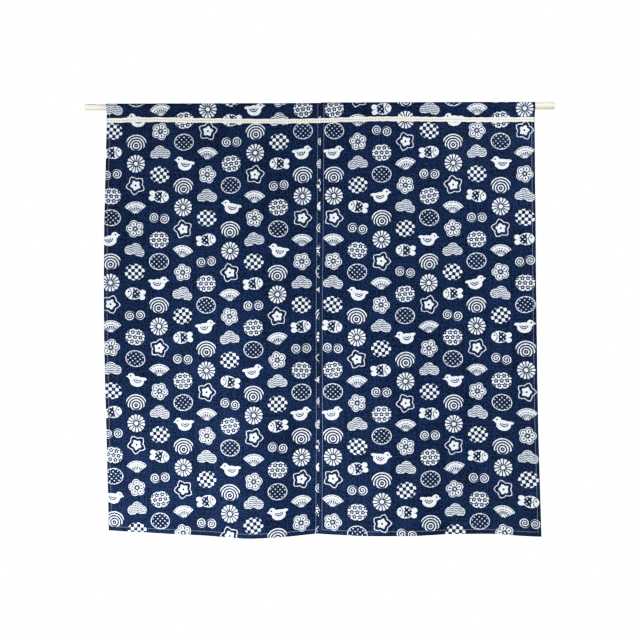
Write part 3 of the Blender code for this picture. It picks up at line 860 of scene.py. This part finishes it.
# Signed distances in mm, below 0 inside what is white. "at" is the place from the motif's middle, "x" and
# "y" its parts, "r" its distance and "angle" its direction.
MOTIF_STEPS = (
    # five-petalled plum blossom, white, with stamens
    *sector("fold5", 5),
    *disc("petal", "fold5_at", 9.4, 0, 7.9),
    ("plum_middle", M, "SUBTRACT", "r", 5.0),
    ("plum_body", M, "MINIMUM", "petal", "plum_middle"),
    ("stamen_from", M, "SUBTRACT", "fold5_x", 7.0),
    ("stamen_long", M, "ABSOLUTE", "stamen_from"),
    ("stamen_end", M, "SUBTRACT", "stamen_long", 2.9),
    ("stamen_side", M, "SUBTRACT", "fold5_y", 0.7),
    ("stamen", M, "MAXIMUM", "stamen_end", "stamen_side"),
    *disc("anther", "fold5_at", 10.0, 0, 1.8),
    ("plum_ink", M, "MINIMUM", "stamen", "anther"),
    ("plum_rim_off", M, "ADD", "plum_body", 2.2),
    ("plum_rim_far", M, "ABSOLUTE", "plum_rim_off"),
    ("plum_rim", M, "SUBTRACT", "plum_rim_far", 0.9),
    ("plum_lines", M, "MINIMUM", "plum_ink", "plum_rim"),
    ("plum_hole", M, "MULTIPLY", "plum_lines", -1.0),
    ("plum blossom", M, "MAXIMUM", "plum_body", "plum_hole"),
    # ball that several kinds share, and checks over it
    *oval("ball", "at", 0, 0, 19.2, 16.3, 17.5),
    ("check_at", V, "MULTIPLY", "at", (PI / 6.6, PI / 6.6, 0)),
    ("check_sin", V, "SINE", "check_at"),
    ("check_x check_y", "SeparateXYZ", None, "check_sin"),
    ("check", M, "MULTIPLY", "check_x", "check_y"),
    ("check_edge", M, "MULTIPLY_ADD", "check", 3.0, 0.2),
    ("check ball", M, "MAXIMUM", "ball", "check_edge"),
    # small plump bird, white, with wing feathers and an eye
    *oval("belly", "at", -2.5, -2.4, 13.6, 10.2, 12.0),
    *disc("head", "at", 9.0, 6.6, 6.6),
    ("bird_front", M, "SMOOTH_MIN", "belly", "head", 3.0),
    *oval("tail", "at", -15.0, 3.6, 6.5, 3.0, 3.6),
    ("bird_long", M, "SMOOTH_MIN", "bird_front", "tail", 2.5),
    *oval("beak", "at", 15.6, 6.0, 3.4, 1.5, 1.8),
    ("bird_body", M, "MINIMUM", "bird_long", "beak"),
    ("eye_far", V, "DISTANCE", "at", (10.8, 7.8, 0)),
    ("eye", M, "SUBTRACT", 1.8, "eye_far"),
    ("wing_far", V, "DISTANCE", "at", (-3.6, 2.8, 0)),
    ("feather", M, "PINGPONG", "wing_far", 1.9),
    ("feather_ink", M, "SUBTRACT", 1.15, "feather"),
    ("wing_end", M, "SUBTRACT", 9.2, "wing_far"),
    ("wing_low", M, "SUBTRACT", 1.8, "y"),
    ("wing_part", M, "MINIMUM", "wing_end", "wing_low"),
    ("wing", M, "MINIMUM", "feather_ink", "wing_part"),
    ("bird_ink", M, "MAXIMUM", "eye", "wing"),
    ("plover", M, "MAXIMUM", "bird_body", "bird_ink"),
    # cloud of three humps, outlined and filled with waves
    *disc("hump1", "at", -10.2, -2.6, 8.8),
    *disc("hump2", "at", -0.8, 3.6, 11.0),
    *disc("hump3", "at", 10.2, -1.4, 9.4),
    ("humps12", M, "MINIMUM", "hump1", "hump2"),
    ("humps", M, "MINIMUM", "humps12", "hump3"),
    ("cloud_foot", M, "SUBTRACT", -9.7, "y"),
    ("cloud_body", M, "MAXIMUM", "humps", "cloud_foot"),
    ("wave_along", M, "MULTIPLY", "x", 0.75),
    ("wave_sway", M, "SINE", "wave_along"),
    ("wave_lean", M, "MULTIPLY", "wave_sway", 1.25),
    ("wave_phase", M, "MULTIPLY_ADD", "y", 1.75, "wave_lean"),
    ("wave", M, "SINE", "wave_phase"),
    ("wave_edge", M, "MULTIPLY_ADD", "wave", 0.48, 0.06),
    ("cloud_line", M, "SUBTRACT", -0.8, "cloud_body"),
    ("cloud_fill", M, "MINIMUM", "cloud_line", "wave_edge"),
    ("wave cloud", M, "MAXIMUM", "cloud_body", "cloud_fill"),
    # navy ball with a white outline and dots
    ("dot_at", V, "MULTIPLY", "at", (PI / 4.7, PI / 4.7, 0)),
    ("dot_cos", V, "COSINE", "dot_at"),
    ("dot_x dot_y", "SeparateXYZ", None, "dot_cos"),
    ("dot_peak", M, "MULTIPLY", "dot_x", "dot_y"),
    ("dots", M, "MULTIPLY_ADD", "dot_peak", -2.0, 1.45),
    ("ball_line", M, "SUBTRACT", -1.2, "ball"),
    ("dot_fill", M, "MINIMUM", "ball_line", "dots"),
    ("dotted ball", M, "MAXIMUM", "ball", "dot_fill"),
    # open fan: ribs below, a white leaf with two thin arcs above
    ("fan_at", V, "ADD", "at", (0, 14.4, 0)),
    ("fan_r", V, "LENGTH", "fan_at"),
    ("fan_x fan_y", "SeparateXYZ", None, "fan_at"),
    ("fan_angle", M, "ARCTAN2", "fan_x", "fan_y"),
    ("fan_turn", M, "ABSOLUTE", "fan_angle"),
    ("fan_over", M, "SUBTRACT", "fan_turn", 0.93),
    ("fan_side", M, "MULTIPLY", "fan_over", "fan_r"),
    ("fan_top", M, "SUBTRACT", "fan_r", 25.4),
    ("fan_foot", M, "SUBTRACT", 3.0, "fan_r"),
    ("fan_ends", M, "MAXIMUM", "fan_top", "fan_foot"),
    ("fan_body", M, "MAXIMUM", "fan_ends", "fan_side"),
    ("rib_turn", M, "PINGPONG", "fan_angle", 0.155),
    ("rib_far", M, "MULTIPLY", "rib_turn", "fan_r"),
    ("rib", M, "SUBTRACT", "rib_far", 0.62),
    ("leaf_edge", M, "SUBTRACT", 14.6, "fan_r"),
    ("arc_off", M, "PINGPONG", "fan_r", 2.9),
    ("arc", M, "SUBTRACT", 0.8, "arc_off"),
    ("leaf", M, "MAXIMUM", "leaf_edge", "arc"),
    ("fan_fill", M, "MINIMUM", "rib", "leaf"),
    ("open fan", M, "MAXIMUM", "fan_body", "fan_fill"),
    # two whirls of white line
    ("whirl_side", M, "SIGN", "x"),
    ("whirl_off", M, "ABSOLUTE", "x"),
    ("whirl_x", M, "SUBTRACT", "whirl_off", 9.7),
    ("whirl_y", M, "MULTIPLY", "y", "whirl_side"),
    ("whirl_at", "CombineXYZ", None, "whirl_x", "whirl_y", 0.0),
    ("whirl_r", V, "LENGTH", "whirl_at"),
    ("whirl_angle", M, "ARCTAN2", "whirl_y", "whirl_x"),
    ("whirl_turn", M, "MULTIPLY_ADD", "whirl_angle", -4.3 / (2 * PI), "whirl_r"),
    ("whirl_line", M, "PINGPONG", "whirl_turn", 2.15),
    ("whirl_edge", M, "SUBTRACT", "whirl_line", 0.8),
    ("whirl_end", M, "SUBTRACT", "whirl_r", 9.7),
    ("twin whirls", M, "MAXIMUM", "whirl_edge", "whirl_end"),
    # chrysanthemum of fourteen petals
    *sector("fold14", 14),
    *disc("tip", "fold14_at", 14.2, 0, 3.2),
    ("mum_inside", M, "SUBTRACT", "r", 14.2),
    ("mum_body", M, "MINIMUM", "tip", "mum_inside"),
    ("gap_turn", M, "SUBTRACT", PI / 14, "fold14"),
    ("gap_far", M, "MULTIPLY", "gap_turn", "r"),
    ("gap", M, "SUBTRACT", 1.2, "gap_far"),
    ("mum_outer", M, "SUBTRACT", "r", 5.6),
    ("mum_gap", M, "MINIMUM", "gap", "mum_outer"),
    ("mum_ring_off", M, "SUBTRACT", "r", 5.0),
    ("mum_ring_far", M, "ABSOLUTE", "mum_ring_off"),
    ("mum_ring", M, "SUBTRACT", 1.1, "mum_ring_far"),
    ("mum_ink", M, "MAXIMUM", "mum_gap", "mum_ring"),
    ("chrysanthemum", M, "MAXIMUM", "mum_body", "mum_ink"),
    # fish: smooth head with an eye and a gill, scales behind
    *oval("fish_side", "at", 3.0, 0, 15.4, 11.8, 12.6),
    ("fin_y", M, "ABSOLUTE", "y"),
    ("fins_at", "CombineXYZ", None, "x", "fin_y", 0.0),
    *oval("fin", "fins_at", -14.8, 5.2, 5.6, 4.8, 5.1),
    ("fish_body", M, "SMOOTH_MIN", "fish_side", "fin", 2.5),
    ("fish_eye_far", V, "DISTANCE", "at", (12.4, 2.8, 0)),
    ("fish_eye", M, "SUBTRACT", 1.8, "fish_eye_far"),
    *disc("gill_off", "at", 17.5, 0, 10.4),
    ("gill_near", M, "ABSOLUTE", "gill_off"),
    ("gill", M, "SUBTRACT", 0.9, "gill_near"),
    ("scale_edge", M, "MULTIPLY_ADD", "dot_peak", -2.0, 1.25),
    ("scale_line", M, "SUBTRACT", -1.3, "fish_body"),
    ("scale_front", M, "SUBTRACT", 4.5, "x"),
    ("scale_rear", M, "ADD", "x", 10.5),
    ("scale_ends", M, "MINIMUM", "scale_front", "scale_rear"),
    ("scale_part", M, "MINIMUM", "scale_ends", "scale_line"),
    ("scales", M, "MINIMUM", "scale_edge", "scale_part"),
    ("fish_head", M, "MAXIMUM", "fish_eye", "gill"),
    ("fish_ink", M, "MAXIMUM", "fish_head", "scales"),
    ("fish", M, "MAXIMUM", "fish_body", "fish_ink"),
    # ball of rippling rings
    ("ring_far", V, "DISTANCE", "at", (0, -7.0, 0)),
    ("ring_off", M, "PINGPONG", "ring_far", 2.6),
    ("ring_edge", M, "SUBTRACT", "ring_off", 1.0),
    ("ringed ball", M, "MAXIMUM", "ball", "ring_edge"),
    # bellflower: white outline, small white flower within
    ("bell_lobe", M, "MULTIPLY_ADD", "fold5", 9.0, "r"),
    ("bell", M, "SUBTRACT", "bell_lobe", 19.2),
    ("bell_line", M, "SUBTRACT", -1.45, "bell"),
    ("bell_small_lobe", M, "MULTIPLY_ADD", "fold5", 5.5, "r"),
    ("bell_small", M, "SUBTRACT", "bell_small_lobe", 10.4),
    ("bell_hole", M, "SUBTRACT", 2.2, "r"),
    ("bell_inner", M, "MAXIMUM", "bell_small", "bell_hole"),
    ("bell_fill", M, "MINIMUM", "bell_line", "bell_inner"),
    ("bellflower", M, "MAXIMUM", "bell", "bell_fill"),
    # white ball strewn with small navy blossoms
    ("bloom_rows", M, "MULTIPLY_ADD", "y", 1 / 9.2, 0.5),
    ("bloom_row", M, "FLOOR", "bloom_rows"),
    ("bloom_x", M, "MULTIPLY_ADD", "bloom_row", 5.3, "x"),
    ("bloom_from", "CombineXYZ", None, "bloom_x", "y", 0.0),
    ("bloom_at", V, "WRAP", "bloom_from", (5.3, 4.6, 1), (-5.3, -4.6, -1)),
    ("bloom_r", V, "LENGTH", "bloom_at"),
    ("bloom_dx bloom_dy", "SeparateXYZ", None, "bloom_at"),
    ("bloom_angle", M, "ARCTAN2", "bloom_dx", "bloom_dy"),
    ("bloom_turn", M, "MULTIPLY", "bloom_angle", 5.0),
    ("bloom_lobe", M, "COSINE", "bloom_turn"),
    ("bloom_size", M, "MULTIPLY_ADD", "bloom_lobe", 1.0, 4.3),
    ("bloom_ink", M, "SUBTRACT", "bloom_size", "bloom_r"),
    ("bloom_eye", M, "SUBTRACT", "bloom_r", 1.2),
    ("blooms", M, "MINIMUM", "bloom_ink", "bloom_eye"),
    ("blossom ball", M, "MAXIMUM", "ball", "blooms"),
)

# In the order of their kinds.
MOTIFS = (
    "plum blossom",
    "wave cloud",
    "check ball",
    "fish",
    "twin whirls",
    "blossom ball",
    "dotted ball",
    "plover",
    "ringed ball",
    "chrysanthemum",
    "bellflower",
    "open fan",
)


def print_field(tree, cloth_mm):
    """Signed distance in mm to the print's edge, below 0 in the white: each cell shows its kind's motif."""
    known = {}
    work_out(tree, known, (("cloth_u cloth_v", "SeparateXYZ", None, cloth_mm), *CELL_STEPS))
    # Each motif is turned by up to 0.18 radians either way.
    draw = add(tree, "TexWhiteNoise", [known["cell"]], noise_dimensions="2D")
    work_out(tree, known, (("tilt", M, "MULTIPLY_ADD", draw.outputs["Value"], 0.36, -0.18),))
    turned = add(tree, "VectorRotate", {"Vector": known["upright"], "Angle": known["tilt"]},
                 rotation_type="Z_AXIS")
    known["at"] = turned.outputs[0]
    work_out(tree, known, (
        ("x y", "SeparateXYZ", None, "at"),
        ("r", V, "LENGTH", "at"),
        ("angle", M, "ARCTAN2", "y", "x"),
        *MOTIF_STEPS,
    ))
    field = 0.0
    for number, motif in enumerate(MOTIFS):
        chosen = add(tree, M, [known["kind"], number, 0.5], operation="COMPARE")
        field = add(tree, M, [chosen.outputs[0], known[motif], field], operation="MULTIPLY_ADD").outputs[0]
    return field


# Places of the mix node's colour sockets.
MIX_FACTOR, MIX_A, MIX_B, MIX_RESULT = 0, 6, 7, 2


def woven_noise(tree, cloth_mm, detail, *scales):
    """The sum of one noise for each pair of scales, which are per mm along the weft and along the warp."""
    parts = []
    for scale in scales:
        at = add(tree, V, [cloth_mm, (*scale, 0)], operation="MULTIPLY").outputs[0]
        noise = add(tree, "TexNoise", {"Vector": at, "Scale": 1.0, "Detail": detail}, noise_dimensions="2D")
        parts.append(noise.outputs[0])
    return add(tree, M, parts, operation="ADD").outputs[0]


def printed_cotton():
    """Printed plain-weave cotton: dyed navy with a matte white print, dry, a little slubbed, paler behind."""
    made, tree, shader = new_material("printed plain-weave cotton")
    place = add(tree, "UVMap", uv_map="Cloth").outputs[0]
    cloth_mm = add(tree, V, [place, (1000, 1000, 0)], operation="MULTIPLY").outputs[0]
    # The print's edges wander by a third of a millimetre, as ink does on threads, and are half of one wide.
    wander = add(tree, "TexNoise", {"Vector": cloth_mm, "Scale": 0.42, "Detail": 2.0}, noise_dimensions="2D")
    centred = add(tree, V, [wander.outputs["Color"], (0.5, 0.5, 0.5)], operation="SUBTRACT").outputs[0]
    inked_at = add(tree, V, [centred, (1.6, 1.6, 0), cloth_mm], operation="MULTIPLY_ADD").outputs[0]
    field = print_field(tree, inked_at)
    white = add(tree, "MapRange", [field, 0.28, -0.28, 0.0, 1.0], clamp=True).outputs[0]

    # Slubs: threads of uneven weight, 2 to 5 mm apart and some 60 mm long, both ways of the weave.
    slub = woven_noise(tree, cloth_mm, 3.0, (0.016, 0.42), (0.46, 0.014))
    # Heather: threads take the dye in short runs, drawn some 2 mm wide and 4 mm long, both ways of the weave.
    heather = woven_noise(tree, cloth_mm, 1.0, (0.24, 0.52), (0.52, 0.24))
    # Dye takes unevenly over some 60 mm.
    dye = add(tree, "TexNoise", {"Vector": cloth_mm, "Scale": 0.017, "Detail": 2.0}, noise_dimensions="2D")
    uneven = add(tree, M, [dye.outputs[0], 0.5, -0.25], operation="MULTIPLY_ADD").outputs[0]
    threads = add(tree, M, [slub, 0.5, heather], operation="MULTIPLY_ADD").outputs[0]
    thread_share = add(tree, "MapRange", [threads, 1.38, 1.62, 0.0, 1.0], clamp=True).outputs[0]
    dyed_share = add(tree, M, [thread_share, uneven], operation="ADD", use_clamp=True).outputs[0]

    navy = add(tree, "Mix", {MIX_FACTOR: dyed_share, MIX_A: colour(NAVY_DEEP), MIX_B: colour(NAVY_WORN)},
               data_type="RGBA").outputs[MIX_RESULT]
    ink = add(tree, "Mix", {MIX_FACTOR: thread_share, MIX_A: colour(PRINT_THIN), MIX_B: colour(PRINT_FULL)},
              data_type="RGBA").outputs[MIX_RESULT]
    front = add(tree, "Mix", {MIX_FACTOR: white, MIX_A: navy, MIX_B: ink},
                data_type="RGBA").outputs[MIX_RESULT]
    back_colours = {MIX_FACTOR: thread_share, MIX_A: colour(NAVY_BACK_DEEP), MIX_B: colour(NAVY_BACK_WORN)}
    navy_back = add(tree, "Mix", back_colours, data_type="RGBA").outputs[MIX_RESULT]
    back_colours = {MIX_FACTOR: thread_share, MIX_A: colour(PRINT_BACK_THIN), MIX_B: colour(PRINT_BACK_FULL)}
    ink_back = add(tree, "Mix", back_colours, data_type="RGBA").outputs[MIX_RESULT]
    behind = add(tree, "Mix", {MIX_FACTOR: white, MIX_A: navy_back, MIX_B: ink_back},
                 data_type="RGBA").outputs[MIX_RESULT]
    side = add(tree, "Attribute", attribute_name="Back").outputs["Fac"]
    both = add(tree, "Mix", {MIX_FACTOR: side, MIX_A: front, MIX_B: behind}, data_type="RGBA")
    tree.links.new(both.outputs[MIX_RESULT], shader.inputs["Base Color"])

    # Threads 0.5 mm apart are too fine to show, so the weave is drawn at 1.1 mm.
    thread_at = add(tree, V, [cloth_mm, (2 * PI / 1.1, 2 * PI / 1.1, 0)], operation="MULTIPLY").outputs[0]
    thread_sine = add(tree, V, [thread_at], operation="SINE").outputs[0]
    parts = add(tree, "SeparateXYZ", [thread_sine])
    weave = add(tree, M, [parts.outputs[0], parts.outputs[1]], operation="MULTIPLY").outputs[0]
    # Small crumples that handling leaves, 5 to 15 mm across.
    crumple = add(tree, "TexNoise", {"Vector": cloth_mm, "Scale": 0.085, "Detail": 3.0},
                  noise_dimensions="2D")
    woven = add(tree, M, [weave, 0.035, slub], operation="MULTIPLY_ADD").outputs[0]
    height = add(tree, M, [crumple.outputs[0], 2.2, woven], operation="MULTIPLY_ADD").outputs[0]
    bump = add(tree, "Bump", {"Height": height, "Strength": 0.55, "Distance": 0.25 * MM})
    tree.links.new(bump.outputs[0], shader.inputs["Normal"])
    shader.inputs["Roughness"].default_value = 0.55
    shader.inputs["Specular IOR Level"].default_value = 0.04
    return made


def cotton_tape():
    """Woven cotton tape, undyed, in a herringbone twill: a soft cream, with painted shade in the grooves
    between the ribs.
    """
    made, tree, shader = new_material("undyed woven cotton tape")
    place = add(tree, "UVMap", uv_map="Cloth").outputs[0]
    cloth_mm = add(tree, V, [place, (1000, 1000, 0)], operation="MULTIPLY").outputs[0]
    along, across = add(tree, "SeparateXYZ", [cloth_mm]).outputs[:2]
    # The twill's ribs are 1.2 mm apart and lean one way above the middle and the other way below it.
    lean = add(tree, M, [across], operation="ABSOLUTE").outputs[0]
    twill = add(tree, M, [lean, 0.7, along], operation="MULTIPLY_ADD").outputs[0]
    turns = add(tree, M, [twill, 2 * PI / 1.2], operation="MULTIPLY").outputs[0]
    rib = add(tree, M, [turns], operation="SINE").outputs[0]
    fuzz = add(tree, "TexNoise", {"Vector": cloth_mm, "Scale": 0.35, "Detail": 3.0}, noise_dimensions="2D")
    # Painted shade: the colour darkens in the grooves between the ribs, and the fuzz varies the tone at
    # random.
    shade = add(tree, M, [rib, 0.18, fuzz.outputs[0]], operation="MULTIPLY_ADD").outputs[0]
    share = add(tree, "MapRange", [shade, 0.25, 0.75, 0.0, 1.0], clamp=True).outputs[0]
    cream = add(tree, "Mix", {MIX_FACTOR: share, MIX_A: colour(TAPE_SHADE), MIX_B: colour(TAPE_CREAM)},
                data_type="RGBA").outputs[MIX_RESULT]
    tree.links.new(cream, shader.inputs["Base Color"])
    height = add(tree, M, [rib, 0.5, shade], operation="MULTIPLY_ADD").outputs[0]
    bump = add(tree, "Bump", {"Height": height, "Strength": 0.5, "Distance": 0.15 * MM})
    tree.links.new(bump.outputs[0], shader.inputs["Normal"])
    shader.inputs["Roughness"].default_value = 0.9
    shader.inputs["Specular IOR Level"].default_value = 0.2
    return made


def sewing_thread(name, light, dark):
    """Spun sewing thread: two plies twisted together, which give it a fine slanting light and shade."""
    made, tree, shader = new_material(name)
    place = add(tree, "TexCoord").outputs["Object"]
    # Light and shade change about every millimetre of the thread.
    plies = add(tree, "TexNoise", {"Vector": place, "Scale": 900.0, "Detail": 2.0})
    shade = add(tree, "Mix", {MIX_FACTOR: plies.outputs[0], MIX_A: colour(dark), MIX_B: colour(light)},
                data_type="RGBA").outputs[MIX_RESULT]
    tree.links.new(shade, shader.inputs["Base Color"])
    bump = add(tree, "Bump", {"Height": plies.outputs[0], "Strength": 0.4, "Distance": 0.1 * MM})
    tree.links.new(bump.outputs[0], shader.inputs["Normal"])
    shader.inputs["Roughness"].default_value = 0.7
    shader.inputs["Specular IOR Level"].default_value = 0.3
    return made


def stoved_enamel(name, light, dark):
    """Stoved enamel on a drawn steel tube: satin, with a faint skin and with draw lines along the tube."""
    made, tree, shader = new_material(name)
    place = add(tree, "TexCoord").outputs["Object"]
    # Draw lines some 2.4 mm wide and 170 mm long.
    drawn_at = add(tree, V, [place, (6, 420, 420)], operation="MULTIPLY").outputs[0]
    drawn = add(tree, "TexNoise", {"Vector": drawn_at, "Scale": 1.0, "Detail": 2.0})
    # The skin's dimples are about 4 mm across.
    skin = add(tree, "TexNoise", {"Vector": place, "Scale": 260.0, "Detail": 1.0})
    tone = add(tree, "Mix", {MIX_FACTOR: drawn.outputs[0], MIX_A: colour(dark), MIX_B: colour(light)},
               data_type="RGBA").outputs[MIX_RESULT]
    tree.links.new(tone, shader.inputs["Base Color"])
    gloss = add(tree, "MapRange", [skin.outputs[0], 0.3, 0.7, 0.34, 0.42], clamp=True).outputs[0]
    tree.links.new(gloss, shader.inputs["Roughness"])
    relief = add(tree, M, [drawn.outputs[0], 0.5, skin.outputs[0]], operation="MULTIPLY_ADD").outputs[0]
    bump = add(tree, "Bump", {"Height": relief, "Strength": 0.2, "Distance": 0.05 * MM})
    tree.links.new(bump.outputs[0], shader.inputs["Normal"])
    shader.inputs["IOR"].default_value = 1.7
    shader.inputs["Specular IOR Level"].default_value = 1.0
    return made


def moulded_plastic():
    """Moulded white polypropylene: a fine spark-eroded grain, half matte, slightly milky."""
    made, tree, shader = new_material("moulded white polypropylene")
    place = add(tree, "TexCoord").outputs["Object"]
    # The grain is 0.7 mm, and the milky clouds are 8 mm across.
    grain = add(tree, "TexNoise", {"Vector": place, "Scale": 1400.0, "Detail": 2.0})
    cloud = add(tree, "TexNoise", {"Vector": place, "Scale": 120.0, "Detail": 2.0})
    tones = {MIX_FACTOR: cloud.outputs[0], MIX_A: colour("#ece8da"), MIX_B: colour("#f8f6ec")}
    tone = add(tree, "Mix", tones, data_type="RGBA").outputs[MIX_RESULT]
    tree.links.new(tone, shader.inputs["Base Color"])
    bump = add(tree, "Bump", {"Height": grain.outputs[0], "Strength": 0.3, "Distance": 0.05 * MM})
    tree.links.new(bump.outputs[0], shader.inputs["Normal"])
    shader.inputs["Roughness"].default_value = 0.48
    shader.inputs["IOR"].default_value = 1.49
    return made


# ---------------------------------------------------------------- stage, camera and light


def make_stage():
    """A pale matte floor, a round disc below the curtain at a doorway's height."""
    made, tree, shader = new_material("matte pale floor")
    place = add(tree, "TexCoord").outputs["Object"]
    cloud = add(tree, "TexNoise", {"Vector": place, "Scale": 3.0, "Detail": 2.0})  # shades 330 mm across
    tones = {MIX_FACTOR: cloud.outputs[0], MIX_A: colour("#f1f1ef"), MIX_B: colour("#f8f8f6")}
    tone = add(tree, "Mix", tones, data_type="RGBA").outputs[MIX_RESULT]
    tree.links.new(tone, shader.inputs["Base Color"])
    shader.inputs["Roughness"].default_value = 0.9
    turn = np.linspace(0, 2 * PI, FLOOR_SIDES, endpoint=False)
    circle = FLOOR_RADIUS * np.stack((np.cos(turn), np.sin(turn), 0 * turn), axis=1)
    edge = circle + (ROD_LENGTH / 2, 0, FLOOR_Z)
    floor = new_piece("floor", edge.tolist(), [range(FLOOR_SIDES)], made, smooth=False)


def make_camera():
    """Square to the curtain at half its height, turned a little because the rod climbs to the right."""
    camera = bpy.data.objects.new("camera", bpy.data.cameras.new("camera"))
    camera.data.sensor_width = 36
    camera.data.lens = camera.data.sensor_width * VIEW_FAR / VIEW_WIDE
    camera.location = (VIEW_X, -VIEW_FAR, VIEW_Z)
    camera.rotation_euler = (PI / 2, ROD_CLIMB, 0)
    bpy.context.scene.collection.objects.link(camera)
    bpy.context.scene.camera = camera


# Each lamp is square, so many metres a side, and faces a place in the curtain's plane. Its spread is in
# degrees and its power in watts.
Lamp = namedtuple("Lamp", "name x y z target_x target_z size spread power")
LAMPS = (
    Lamp("low_left", 0.00, -1.90, -1.15, 0.10, -0.95, 0.5, 60, 1.55),
    Lamp("low_middle", 0.50, -1.90, -1.25, 0.52, -1.00, 0.5, 60, 2.2),
    Lamp("side_left", -1.00, -0.90, -0.80, 0.22, -0.76, 0.6, 74, 5.2),
    Lamp("high_left", -0.25, -1.80, 0.10, 0.00, 0.00, 0.3, 30, 0.34),
    Lamp("high_right", 1.40, -1.60, 0.50, 0.92, 0.00, 0.4, 50, 2.3),
    Lamp("left_end", -0.35, -1.60, 0.02, -0.02, 0.00, 0.04, 6, 0.032),
    Lamp("right_end", 1.30, -1.60, 0.45, 0.96, 0.00, 0.04, 6, 0.012),
    Lamp("behind", 0.46, 2.40, 0.50, 0.46, -1.90, 2.0, 180, 90.0),
)


def make_light():
    """A white surround that lights the curtain dimly, and the lamps: soft ones in front, low and at both
    upper corners, a small one on each end of the rod, and a large one behind for the back and the floor. The
    tone curve is set here too."""
    world = bpy.data.worlds.new("white surround")
    world.use_nodes = True
    tree = world.node_tree
    tree.nodes.clear()
    seen = add(tree, "LightPath").outputs["Is Camera Ray"]
    strength = add(tree, "MapRange", [seen, 0.0, 1.0, SURROUND_LIGHT, SURROUND_SEEN]).outputs[0]
    surround = add(tree, "Background", [(1, 1, 1, 1), strength])
    add(tree, "OutputWorld", {"Surface": surround.outputs[0]})
    bpy.context.scene.world = world
    for lamp in LAMPS:
        data = bpy.data.lights.new(lamp.name, "AREA")
        data.size = lamp.size
        data.spread = math.radians(lamp.spread)
        data.energy = lamp.power
        held = bpy.data.objects.new(lamp.name, data)
        held.location = (lamp.x, lamp.y, lamp.z)
        aim = np.array((lamp.target_x - lamp.x, -lamp.y, lamp.target_z - lamp.z))
        pitch = math.atan2(-aim[2], math.hypot(aim[0], aim[1]))
        held.rotation_euler = (PI / 2 - pitch, 0, math.atan2(aim[1], aim[0]) - PI / 2)
        bpy.context.scene.collection.objects.link(held)
    view = bpy.context.scene.view_settings
    view.view_transform = "Standard"
    view.use_curve_mapping = True
    view.curve_mapping.white_level = (SURROUND_SEEN,) * 3
    curve = view.curve_mapping.curves[3]  # the one for all three colours
    curve.points[-1].location = (1.0, 1.0)
    for light, shown in TONE_CURVE[1:-1]:
        curve.points.new(light / SURROUND_SEEN, shown)
    view.curve_mapping.update()


# ---------------------------------------------------------------- the whole


def main():
    """All the finishes and pieces, each attached to the root body, and then the stage, camera and light."""
    cotton = printed_cotton()
    tape_cloth = cotton_tape()
    pale_thread = sewing_thread("pale blue sewing thread", "#c3cbda", "#9aa5bb")
    brown_thread = sewing_thread("brown sewing thread", "#74503f", "#482f25")
    enamel = stoved_enamel("cream stoved enamel", "#dcd9bf", "#d3cfb4")
    pale_enamel = stoved_enamel("ivory stoved enamel", "#cfccb8", "#c6c3ae")
    plastic = moulded_plastic()

    thin, thick, plug = make_rod(enamel, pale_enamel, plastic)
    left_panel = Panel("left_cloth", "panel_left", LEFT_FOLDS, left_sides, INNER_RADIUS, 0.011, 0.4)
    right_panel = Panel("right_cloth", "panel_right", RIGHT_FOLDS, right_sides, OUTER_RADIUS, 0.937, 3.1)
    left, left_stitches, left_flat = make_panel(left_panel, cotton, pale_thread)
    right, right_stitches, right_flat = make_panel(right_panel, cotton, pale_thread)
    tape, tape_stitches = make_tape(tape_cloth, brown_thread)

    slots = (
        (left, "printed_cotton"),
        (right, "printed_cotton"),
        (left_stitches, "cotton_tape"),
        (right_stitches, "cotton_tape"),
        (tape, "cotton_tape"),
        (tape_stitches, "cotton_tape"),
        (thin, "enamelled_steel"),
        (thick, "enamelled_steel"),
        (plug, "white_plastic"),
    )
    for piece, slot in slots:
        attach(piece, "root")

    make_stage()
    make_camera()
    make_light()


main()
